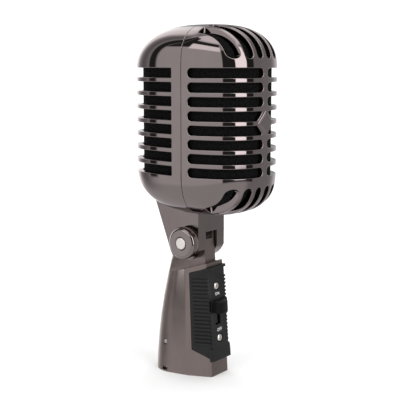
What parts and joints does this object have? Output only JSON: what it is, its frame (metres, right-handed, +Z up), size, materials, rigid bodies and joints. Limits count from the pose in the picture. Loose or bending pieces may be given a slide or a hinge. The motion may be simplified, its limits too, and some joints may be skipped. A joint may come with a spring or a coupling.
{
  "type": "dynamic microphone",
  "caption": "Retro stage vocal microphone: slotted cast head tilting on a yoke over a tapered hollow base with a sliding switch, a stand thread and a three-pin outlet underneath.",
  "frame": {"origin": "on the flat underside of the base, on the web of metal between the stand bush and the outlet, on the plane of symmetry", "axes": "+Z up through the upright base, -Y the front that faces the singer, +X across the microphone"},
  "size_m": [0.056, 0.0846, 0.1966],
  "materials": {
    "gunmetal_plate": "polished black nickel plate over a zinc casting",
    "bright_steel": "bright plated steel",
    "dark_steel": "dull zinc-plated steel",
    "brass": "turned brass",
    "copper_wire": "lacquered copper winding",
    "black_plastic": "satin moulded black plastic",
    "black_foam": "open black acoustic foam",
    "rubber": "soft black rubber",
    "washer_plastic": "amber nylon",
    "film": "thin formed film"
  },
  "bodies": {
    "base": {"base_housing": "gunmetal_plate", "stand_bush": "brass", "switch_cover": "black_plastic", "switch_body": "bright_steel", "cover_screw_upper": "bright_steel", "cover_screw_lower": "bright_steel", "outlet_shell": "bright_steel", "outlet_insulator": "black_plastic", "outlet_pin_1": "brass", "outlet_pin_2": "brass", "outlet_pin_3": "brass", "outlet_screw": "bright_steel", "transformer": "dark_steel"},
    "switch_slider": {"switch_knob": "black_plastic", "switch_actuator": "black_plastic"},
    "head": {"capsule_cap": "dark_steel", "capsule_carrier": "dark_steel", "capsule_housing": "dark_steel", "diaphragm": "film", "emblem_plate": "gunmetal_plate", "friction_washer": "washer_plastic", "front_grille": "gunmetal_plate", "front_liner": "black_foam", "magnet": "dark_steel", "pivot_bolt": "bright_steel", "pivot_cap": "gunmetal_plate", "pivot_nut": "bright_steel", "pole_cup": "bright_steel", "pole_disc": "bright_steel", "rear_grille": "gunmetal_plate", "rear_liner": "black_foam", "seam_band": "dark_steel", "shock_ring_front": "rubber", "shock_ring_rear": "rubber", "voice_coil": "copper_wire", "yoke": "gunmetal_plate", "yoke_screw_1": "bright_steel", "yoke_screw_2": "bright_steel", "yoke_screw_3": "bright_steel"}
  },
  "joints": [
    {"name": "head_tilt", "type": "hinge", "parent": "base", "child": "head", "pos_m": [0, -0.0121, 0.0781], "axis": [1, 0, 0], "range_deg": [-45, 40]},
    {"name": "switch_slide", "type": "slide", "parent": "base", "child": "switch_slider", "axis": [0, 0, 1], "range_m": [-0.0055, 0]}
  ]
}
